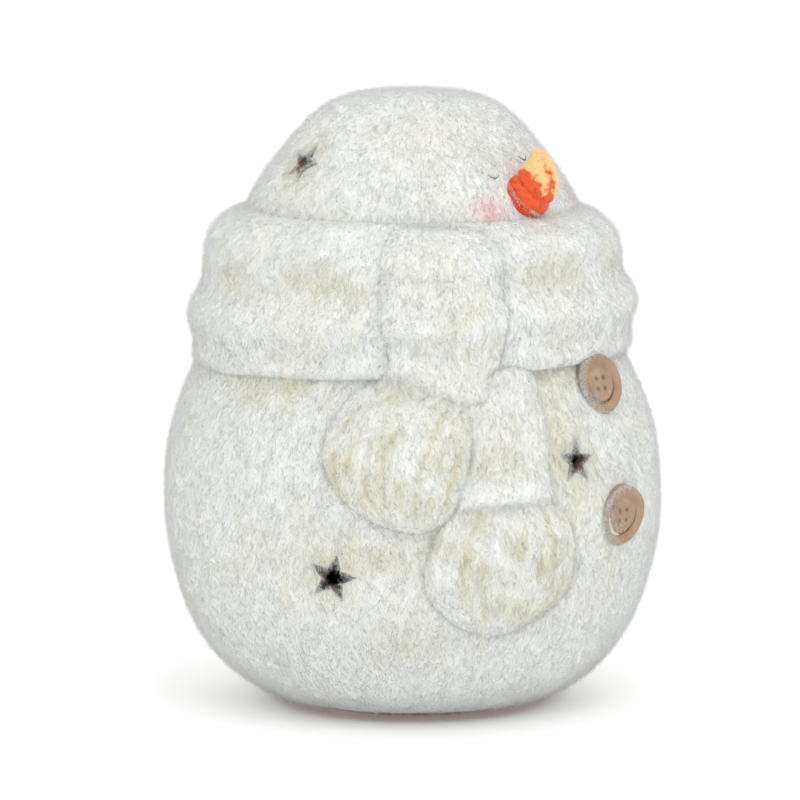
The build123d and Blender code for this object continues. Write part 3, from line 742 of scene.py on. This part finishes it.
class ScarfEnds(bpy.types.Operator):
    """The two hanging scarf ends with hems and ribbed fringe"""
    bl_idname = "snowman.scarf_ends"
    bl_label = "Scarf ends"

    def execute(self, context):
        felt = bpy.data.materials["felt_ground"]
        ends = (("front", FRONT_END, True, 31), ("back", BACK_END, False, 37))
        for side, stations, over_wrap, seed in ends:
            piece = scarf_end(f"scarf_{side}", stations, over_wrap, seed)
            finish_piece(piece, felt, f"scarf_end_{side}", f"scarf_{side}_flock", slot="white_flock")
        return {"FINISHED"}


# ---------------------------------------------------------------- fibre pile

def values_of(items, key, width, kind):
    """A property of many items, one row for each."""
    values = np.empty(len(items) * width, kind)
    items.foreach_get(key, values)
    return values.reshape(-1, width)


def surface_samples(piece, density, chance):
    """Random spots on a piece: place, normal and painted fold shade, evenly by area."""
    mesh = piece.data
    mesh.calc_loop_triangles()
    count = len(mesh.loop_triangles)
    corners = values_of(mesh.loop_triangles, "vertices", 3, np.int32)
    places = values_of(mesh.vertices, "co", 3, float)
    folds = values_of(mesh.attributes["fold"].data, "value", 1, np.float32)[:, 0]
    a, b, c = (places[corners[:, i]] for i in range(3))
    cross = np.cross(b - a, c - a)
    area = np.linalg.norm(cross, axis=1) / 2
    normal = cross / np.maximum(2 * area[:, None], 1e-12)
    middle = (a + b + c) / 3
    wanted = area * grows(middle, normal)
    total = int(wanted.sum() * 1e6 * density)
    picks = chance.choice(count, total, p=wanted / wanted.sum())
    u, v = chance.random(total), chance.random(total)
    flip = u + v > 1
    u[flip], v[flip] = 1 - u[flip], 1 - v[flip]
    spot = a[picks] + (b - a)[picks] * u[:, None] + (c - a)[picks] * v[:, None]
    return spot, normal[picks], folds[corners[picks]].mean(axis=1)


def grows(middle, normal):
    """1 where pile can grow: on outward faces, clear of the foot."""
    lean = (normal * outward_from(middle)).sum(axis=1) + np.abs(normal[:, 2]) * (middle[:, 2] > 0.19)
    return ((lean > -0.25) & (middle[:, 2] > 2.2 * MM)).astype(float)


def fibre_mesh(name, root, tip, width, chance):
    """Closed needles from roots to tips."""
    count = len(root)
    axis = tip - root
    axis /= np.linalg.norm(axis, axis=1)[:, None]
    helper = chance.normal(size=(count, 3))
    first = np.cross(axis, helper)
    first /= np.linalg.norm(first, axis=1)[:, None]
    second = np.cross(axis, first)
    corners = []
    for i in range(3):
        turn = 2 * math.pi * i / 3
        corners.append(root + (first * math.cos(turn) + second * math.sin(turn)) * width[:, None])
    points = np.stack([*corners, tip], axis=1).reshape(-1, 3)
    base = np.arange(count)[:, None] * 4
    pattern = np.array([0, 2, 1, 0, 1, 3, 1, 2, 3, 2, 0, 3])
    loops = (base + pattern[None, :]).reshape(-1)
    mesh = bpy.data.meshes.new(name)
    mesh.vertices.add(len(points))
    mesh.vertices.foreach_set("co", points.reshape(-1))
    mesh.loops.add(len(loops))
    mesh.loops.foreach_set("vertex_index", loops.astype(np.int32))
    mesh.polygons.add(count * 4)
    mesh.polygons.foreach_set("loop_start", np.arange(0, count * 12, 3, dtype=np.int32))
    mesh.polygons.foreach_set("use_smooth", np.ones(count * 4, bool))
    mesh.update(calc_edges=True)
    return mesh


def combed(normal, chance, lean_low, lean_high):
    """Fibre directions: leaning over, mostly down or up along the surface."""
    count = len(normal)
    down = np.array([0, 0, -1.0]) - normal * (-normal[:, 2])[:, None]
    down /= np.maximum(np.linalg.norm(down, axis=1)[:, None], 1e-6)
    side = np.cross(normal, down)
    swing = chance.normal(0, 0.55, count) + math.pi * (chance.random(count) < 0.35)
    along = down * np.cos(swing)[:, None] + side * np.sin(swing)[:, None]
    lean = np.radians(chance.uniform(lean_low, lean_high, count))
    return normal * np.cos(lean)[:, None] + along * np.sin(lean)[:, None]


def tint_of(spot, fold, chance):
    """Index of the fibre tint at each spot: deeper tints where the painted fold shade is high, spread at
    random.
    """
    patch = lumps(spot, 14 * MM, 51) * 0.5 + lumps(spot, 40 * MM, 52) * 0.6
    score = fold * (1.3 + chance.normal(0, 0.7, len(spot))) + patch * 0.2
    score += chance.normal(0, 0.08, len(spot))
    tint = np.digitize(score, (0.16, 0.42, 0.8))
    grey = (chance.random(len(spot)) < 0.06) & (tint < 2)
    tint[grey] = GREY_TINT
    return tint


def grow_pile(piece, sizes, parts, seed):
    """Fibres over a coat, in a few pieces that each stay light."""
    chance = np.random.default_rng(seed)
    spot, normal, fold = surface_samples(piece, sizes.density, chance)
    direction = combed(normal, chance, 50, 86)
    length = sizes.length * chance.uniform(0.65, 1.2, len(spot))
    stray = chance.random(len(spot)) < 0.05
    length[stray] *= 1.4
    root = spot - normal * 0.15 * MM
    tip = root + direction * length[:, None]
    width = sizes.width / 2 * chance.uniform(0.75, 1.25, len(spot))
    tint = tint_of(spot, fold, chance)
    painted, drawn = blush_at(spot), chance.random(len(spot))
    tint[drawn < painted] = PALE_BLUSH
    tint[drawn < painted * 0.4] = FULL_BLUSH
    order = np.argsort(np.arctan2(spot[:, 0], -spot[:, 1]))
    for i, chosen in enumerate(np.array_split(order, parts)):
        mesh = fibre_mesh(f"{piece.name}_pile_{i + 1}", root[chosen], tip[chosen], width[chosen], chance)
        finish_pile(mesh, tint[chosen])


def finish_pile(mesh, tint):
    """Makes a piece of fibres with a tint for each."""
    for material in bpy.data.materials:
        if material.name.startswith("fibre_tint_"):
            mesh.materials.append(material)
    mesh.polygons.foreach_set("material_index", np.repeat(tint, 4).astype(np.int32))
    pile = new_object(mesh.name, mesh)
    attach(pile, FIGURE)


def star_edge_fibres(chance, count):
    """Fibres that grow from the edges of the stars across the openings."""
    roots, tips = [], []
    for centre, normal, roll, size in star_spots():
        turned = star_frame(normal, roll)
        for _ in range(count):
            corner = chance.integers(0, 10)
            ends = [
                size * (STAR_NOTCH if k % 2 else 1.0)
                * Vector((math.sin(k * math.pi / 5), math.cos(k * math.pi / 5), 0))
                for k in (corner, corner + 1)
            ]
            spot = ends[0].lerp(ends[1], chance.random()) * chance.uniform(0.96, 1.12)
            inward = Matrix.Rotation(chance.normal(0, 0.8), 3, "Z") @ -spot.normalized()
            lean = Vector((0, 0, chance.uniform(-0.25, 0.45)))
            along = (inward + lean).normalized() * chance.uniform(1.6, 3.9) * MM
            depth = Vector((0, 0, chance.uniform(-2.6, -0.4) * MM))
            roots.append(centre + turned @ (spot + depth))
            tips.append(centre + turned @ (spot + depth + along))
    return roots, tips


def rim_fibres(chance, centre, normal, radius, lean_to, count):
    """Fibres that lap over the edge of a button or the nose, thickest towards one side."""
    roots, tips = [], []
    across, up = across_and_up(normal)
    for _ in range(count):
        turn = lean_to + chance.normal(0, 1.0)
        outward = across * math.cos(turn) + up * math.sin(turn)
        swing = Matrix.Rotation(chance.normal(0, 0.9), 3, normal)
        along = (swing @ -outward) + normal * chance.uniform(-0.15, 0.5)
        rise = normal * chance.uniform(-0.6, 0.9) * MM
        root = centre + outward * radius * chance.uniform(0.94, 1.08) + rise
        roots.append(root)
        tips.append(root + along.normalized() * chance.uniform(1.2, 3.0) * MM)
    return roots, tips


class EdgeFibres(bpy.types.Operator):
    """Loose fibres across the star openings and over the edges of the buttons and nose"""
    bl_idname = "snowman.edge_fibres"
    bl_label = "Edge fibres"

    def execute(self, context):
        sizes, face = context.scene.snowman_pile, context.scene.snowman_face
        chance = np.random.default_rng(sizes.seed + 20)
        groups = [star_edge_fibres(chance, 420)]
        for centre, normal in button_places():
            rim = centre + normal * 1.4 * MM
            groups.append(rim_fibres(chance, rim, normal, face.button_radius, math.pi, 620))
        base, aim = nose_place()
        groups.append(rim_fibres(chance, base, aim, face.nose_radius, math.radians(225), 700))
        root, tip = (np.array([tuple(v) for group in groups for v in group[i]]) for i in range(2))
        width = sizes.width / 2 * chance.uniform(0.7, 1.1, len(root))
        tint = np.where(chance.random(len(root)) < 0.25, 1, 0)
        finish_pile(fibre_mesh("edge_fibres", root, tip, width, chance), tint)
        return {"FINISHED"}


# Flocked pieces and the number of pieces their pile is split into.
PILE_PARTS = (("body_coat", 5), ("head_coat", 2), ("scarf_band", 2), ("scarf_front", 1), ("scarf_back", 1))


class Pile(bpy.types.Operator):
    """Fibre pile over every flocked piece"""
    bl_idname = "snowman.pile"
    bl_label = "Fibre pile"

    def execute(self, context):
        sizes = context.scene.snowman_pile
        pile_materials(sizes)
        for i, (name, parts) in enumerate(PILE_PARTS):
            grow_pile(bpy.data.objects[name], sizes, parts, sizes.seed + i)
        return {"FINISHED"}


# ---------------------------------------------------------------- nose, buttons, eyes

def lathed(name, rows, segments, skin):
    """Closed skin whose rings come from a function of the row and the turn."""
    points = [skin(row, 2 * math.pi * j / segments) for row in rows for j in range(segments)]
    along = [*np.repeat(rows, segments), rows[0], rows[-1]]
    return capped_rings(name, points, segments, along=along)


# The nose along its length: shares of the length, and of the radius at each.
NOSE_RUNS = (-0.22, 0.0, 0.10, 0.19, 0.24, 0.32, 0.50, 0.70, 0.84, 0.93, 0.98, 1.0)
NOSE_GIRTHS = (0.94, 1.0, 1.0, 0.95, 0.88, 0.93, 0.86, 0.68, 0.53, 0.41, 0.29, 0.12)
NOSE_LENGTH, NOSE_BEND = 17.6 * MM, 30.0


class CarrotNose(bpy.types.Operator):
    """Short thick carrot nose, painted orange with a rubbed straw tip"""
    bl_idname = "snowman.carrot_nose"
    bl_label = "Carrot nose"

    def execute(self, context):
        face = context.scene.snowman_face
        base, aim = nose_place()
        across = UP.cross(aim).normalized()
        runs = np.linspace(NOSE_RUNS[0], NOSE_RUNS[-1], 60)

        def skin(run, turn):
            bend = math.radians(NOSE_BEND) * max(run, 0) ** 1.5
            direction = Matrix.Rotation(-bend, 3, across) @ aim
            up = direction.cross(across).normalized()
            outward = across * math.cos(turn) + up * math.sin(turn)
            girth = float(smooth_through(run, NOSE_RUNS, NOSE_GIRTHS)) * face.nose_radius
            spot = base + direction * NOSE_LENGTH * run + outward * girth
            rough = noise.noise(spot / (5 * MM)) * 0.75 + noise.noise(spot / (1.6 * MM)) * 0.22
            return spot + outward * rough * MM

        piece = lathed("carrot_nose_skin", runs, 72, skin)
        finish_piece(piece, carrot_material(face), "carrot_nose", slot="nose_paint")
        return {"FINISHED"}


def carrot_material(face):
    """Orange paint with brush streaks, rubbed through to straw towards the tip."""
    shade = Shade("carrot_paint", Coat_Weight=0.12)
    streak = shade.noise(520, 4.0)
    patch = shade.noise(150, 3.0)
    worn = shade.attribute("along") * 0.62 + patch * 1.7 - 0.5
    straw = shade.ramp(worn, (0.70, 0.0), (0.84, 1.0))
    dark = shade.ramp(streak, (0.35, 1.0), (0.5, 0.0))
    deep = shade.mix(dark, tuple(face.nose_orange), (0.55, 0.045, 0.008))
    # Dark specks: painted shade of small pits that the surface does not have.
    pits = shade.ramp(shade.noise(900, 2.0), (0.70, 0.0), (0.74, 1.0))
    color = shade.mix(pits, shade.mix(straw, deep, tuple(face.nose_straw)), (0.20, 0.05, 0.02))
    return shade.finish(color, 0.38 + 0.25 * streak, streak, 0.5, 0.5 * MM)


def button_material(face):
    """Brown wash, with painted shade in its groove and pits and a painted shadow on one side of the groove.
    """
    shade = Shade("button_wash")
    grain = shade.noise(800, 4.0)
    patch = shade.ramp(shade.noise(210, 4.0), (0.35, 0.0), (0.72, 1.0))
    brown = Vector(face.button_brown)
    base = shade.mix(patch, tuple(brown), tuple(brown * 0.74))
    chips = shade.mix(shade.ramp(grain, (0.66, 0.0), (0.70, 1.0)) * 0.5, base, (0.75, 0.68, 0.58))
    # Painted shade: near black in the pits and the groove, strongest in the shadow crescent.
    color = shade.mix(shade.attribute("groove"), chips, (0.07, 0.045, 0.03))
    return shade.finish(color, 0.5 + 0.3 * grain, grain, 0.35, 0.3 * MM)


class Buttons(bpy.types.Operator):
    """Moulded coat buttons: a broad raised rim, a dished middle and four pits"""
    bl_idname = "snowman.buttons"
    bl_label = "Buttons"

    def execute(self, context):
        face = context.scene.snowman_face
        material = button_material(face)
        for node, (centre, normal) in zip(("button_upper", "button_lower"), button_places()):
            piece = moulded_button(node + "_skin", centre, normal, face.button_radius)
            finish_piece(piece, material, node, slot="button_wash")
        return {"FINISHED"}


# A button's face from its middle to its rim: shares of the radius, and the height in mm at each.
BUTTON_SHARES = (0.0, 0.45, 0.56, 0.62, 0.68, 0.76, 0.90, 0.97, 1.0)
BUTTON_LEVELS = (1.05, 1.0, 0.92, 0.62, 0.95, 1.45, 1.55, 1.15, 0.5)


def moulded_button(name, centre, normal, radius):
    """One closed button disc, facing along its normal."""
    across, up = across_and_up(normal)
    face_rings, segments = 64, 96
    shares = np.concatenate([np.linspace(0.02, 0.99, face_rings), [1.0, 1.0, 0.99]])
    face = smooth_through(shares[:face_rings], BUTTON_SHARES, BUTTON_LEVELS)
    depths = np.concatenate([face, [0.3, -2.6, -3.0]])

    def relief(share, turn):
        x, y = share * math.cos(turn), share * math.sin(turn)
        holes = [(a, b) for a in (-0.17, 0.17) for b in (-0.17, 0.17)]
        pits = sum(math.exp(-((x - a) ** 2 + (y - b) ** 2) / 0.0045) for a, b in holes)
        # A shadow crescent on one side of the groove: it deepens the groove there and is painted dark as a
        # painted shadow.
        lit = max(0.0, math.cos(turn + math.radians(75))) ** 0.6
        shadow_crescent = math.exp(-((share - 0.62) / 0.035) ** 2) * lit
        return pits, shadow_crescent

    points, groove_shades = [], []
    for k, (share, depth) in enumerate(zip(shares, depths)):
        for j in range(segments):
            turn = 2 * math.pi * j / segments
            pits, shadow_crescent = relief(share, turn) if k < face_rings else (0.0, 0.0)
            wobble = 1 + 0.012 * math.sin(3 * turn + 1)
            spot = centre + (across * math.cos(turn) + up * math.sin(turn)) * radius * share * wobble
            rough = 0.10 * noise.noise(spot / (2.2 * MM))
            points.append(spot + normal * (depth - 0.55 * pits - 0.35 * shadow_crescent + rough) * MM)
            # Painted shade in the pits and the shadow crescent.
            groove_shades.append(min(1.0, 0.8 * pits + shadow_crescent))
    return capped_rings(name, points, segments, groove=[*groove_shades, 0, 0])


# Eyes: angle from the front, height.
EYE_SITES = ((-22.5, 194.0), (-1.5, 199.0))


class Eyes(bpy.types.Operator):
    """Two closed eyes, drawn as short grey arcs under the pile"""
    bl_idname = "snowman.eyes"
    bl_label = "Eyes"

    def execute(self, context):
        face = context.scene.snowman_face
        shade = Shade("eye_line")
        grain = shade.noise(1500, 3.0)
        grey = shade.mix(grain, (0.09, 0.10, 0.11), (0.28, 0.29, 0.30))
        material = shade.finish(grey, 0.8 + 0.1 * grain, grain)
        for i, (angle, height) in enumerate(EYE_SITES):
            piece = eye_arc(f"eye_{i + 1}", angle, height * MM, face.eye_width)
            finish_piece(piece, material, slot="white_flock")
        return {"FINISHED"}


def eye_arc(name, angle, height, width):
    """Thin closed thread that sags like a closed eyelid."""
    runs = np.linspace(-1, 1, 24)
    half = width / 2

    def skin(run, turn):
        turned = angle + math.degrees(run * half / float(figure_radius(height)))
        level = height - 1.3 * MM * (1 - run * run)
        spot = facing(turned) * (float(figure_radius(level)) + 0.75 * MM) + Vector((0, 0, level))
        thin = 0.30 * MM * (1 - 0.6 * abs(run))
        return spot + (facing(turned) * math.cos(turn) + Vector((0, 0, 1)) * math.sin(turn)) * thin

    return lathed(name, runs, 8, skin)


# ---------------------------------------------------------------- clay and light unit

class FrameFinishes(bpy.types.Operator):
    """Finishes of the clay body and of the light unit's CAD pieces"""
    bl_idname = "snowman.frame_finishes"
    bl_label = "Clay and light unit finishes"

    def execute(self, context):
        off_white = speckled("housing_plastic", (0.70, 0.69, 0.64), (0.62, 0.61, 0.56), 1600, 0.45)
        rubber = speckled("black_rubber", (0.02, 0.02, 0.02), (0.05, 0.05, 0.05), 900, 0.75)
        steel = speckled("screw_steel", (0.55, 0.55, 0.53), (0.42, 0.42, 0.40), 2400, 0.28, 0.1, 1.0)
        nickel = speckled("contact_nickel", (0.66, 0.63, 0.56), (0.52, 0.50, 0.45), 1400, 0.2, 0.1, 1.0)
        board = speckled("board_laminate", (0.02, 0.16, 0.06), (0.03, 0.24, 0.09), 260, 0.3, 0.2)
        epoxy = speckled("lamp_epoxy", (0.92, 0.84, 0.52), (0.88, 0.78, 0.42), 500, 0.08, 0.02)
        dome = speckled("frosted_dome", (0.90, 0.89, 0.85), (0.84, 0.83, 0.79), 2600, 0.5, 0.2)
        jacket = speckled("cell_jacket", (0.05, 0.06, 0.07), (0.10, 0.11, 0.12), 90, 0.25, 0.03)
        black = speckled("switch_black", (0.02, 0.02, 0.02), (0.04, 0.04, 0.04), 1800, 0.5)
        tan = speckled("resistor_coat", (0.52, 0.38, 0.20), (0.44, 0.30, 0.14), 700, 0.35)
        finishes = {
            "clay_body": terracotta_material(),
            "light_housing": off_white, "housing_cover": off_white, "battery_door": off_white,
            "grip_ring": rubber, "cover_screws": steel, "door_screw": steel, "switch_body": steel,
            "circuit_board": board, "led_lamp": epoxy, "resistor": tan, "diffuser_dome": dome,
            "battery_cell_left": jacket, "battery_cell_right": jacket, "switch_slider": black,
            "contact_springs": nickel, "contact_positive": nickel, "contact_negative": nickel,
            "contact_bridge": nickel, "switch_terminals": nickel,
        }
        for node, material in finishes.items():
            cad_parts[node].data.materials.clear()
            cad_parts[node].data.materials.append(material)
        return {"FINISHED"}


# ---------------------------------------------------------------- stage

def area_light(name, place, aim, size, power):
    """Round soft light that looks at a point."""
    data = bpy.data.lights.new(name, "AREA")
    data.shape, data.size, data.energy = "DISK", size, power
    lamp = bpy.data.objects.new(name, data)
    bpy.context.scene.collection.objects.link(lamp)
    lamp.location = place
    lamp.rotation_euler = (Vector(aim) - Vector(place)).to_track_quat("-Z", "Y").to_euler()


class Stage(bpy.types.Operator):
    """Camera, pale floor and soft studio light"""
    bl_idname = "snowman.stage"
    bl_label = "Stage"

    def execute(self, context):
        sizes = context.scene.snowman_stage
        toward = facing(VIEW_ANGLE, sizes.elevation)
        right = UP.cross(toward).normalized()
        aim = Vector((0, 0, 108 * MM)) - right * 4.5 * MM
        camera = bpy.data.objects.new("camera", bpy.data.cameras.new("camera"))
        context.scene.collection.objects.link(camera)
        camera.location = aim + toward * sizes.distance
        camera.rotation_euler = (-toward).to_track_quat("-Z", "Y").to_euler()
        camera.data.lens = camera.data.sensor_width * sizes.distance / sizes.view_width
        camera.data.clip_end = 50.0
        context.scene.camera = camera

        bpy.ops.object.select_all(action="DESELECT")
        bpy.ops.mesh.primitive_circle_add(
            vertices=96, radius=12.0, fill_type="NGON", location=(0, 0, -0.4 * MM))
        floor = context.active_object
        floor.name = "floor"
        shade = Shade("floor_paper", Roughness=0.9)
        grain = shade.noise(400, 2.0)
        shade.feed(shade.shader.inputs["Emission Color"], (1.0, 1.0, 1.0))
        shade.feed(shade.shader.inputs["Emission Strength"], 0.12)
        floor.data.materials.append(shade.finish(shade.mix(grain, (0.93, 0.93, 0.93), (0.95, 0.95, 0.95))))

        world = bpy.data.worlds.new("studio")
        world.use_nodes = True
        backdrop = world.node_tree.nodes["Background"]
        backdrop.inputs["Color"].default_value = (1.0, 1.0, 1.0, 1.0)
        backdrop.inputs["Strength"].default_value = 1.02
        context.scene.world = world
        context.scene.view_settings.view_transform = "Standard"
        area_light("key", aim + toward * 1.0 + right * 0.35 + Vector((0, 0, 1.3)), aim, 1.2, 5.2)
        return {"FINISHED"}


# ---------------------------------------------------------------- panel and registration

OPERATORS = (
    BodyCoat, HeadCoat, ScarfWrap, ScarfEnds, Pile, EdgeFibres,
    CarrotNose, Buttons, Eyes, FrameFinishes, Stage,
)
GROUPS = {
    "snowman_coat": CoatSizes,
    "snowman_pile": PileSizes,
    "snowman_face": FaceSizes,
    "snowman_stage": StageSizes,
}


class SnowmanPanel(bpy.types.Panel):
    """Lists every piece of the snowman lantern"""
    bl_idname = "VIEW3D_PT_snowman"
    bl_label = "Snowman lantern"
    bl_space_type = "VIEW_3D"
    bl_region_type = "UI"
    bl_category = "Snowman"

    def draw(self, context):
        for operator in OPERATORS:
            self.layout.operator(operator.bl_idname)


def register():
    for cls in (*GROUPS.values(), *OPERATORS, SnowmanPanel):
        bpy.utils.register_class(cls)
    for name, group in GROUPS.items():
        setattr(bpy.types.Scene, name, PointerProperty(type=group))


def unregister():
    for name in GROUPS:
        delattr(bpy.types.Scene, name)
    for cls in reversed((*GROUPS.values(), *OPERATORS, SnowmanPanel)):
        bpy.utils.unregister_class(cls)


def main():
    register()
    for operator in OPERATORS:
        group, action = operator.bl_idname.split(".")
        getattr(getattr(bpy.ops, group), action)()


coat_section_cache = coat_section()

if __name__ == "__main__":
    main()
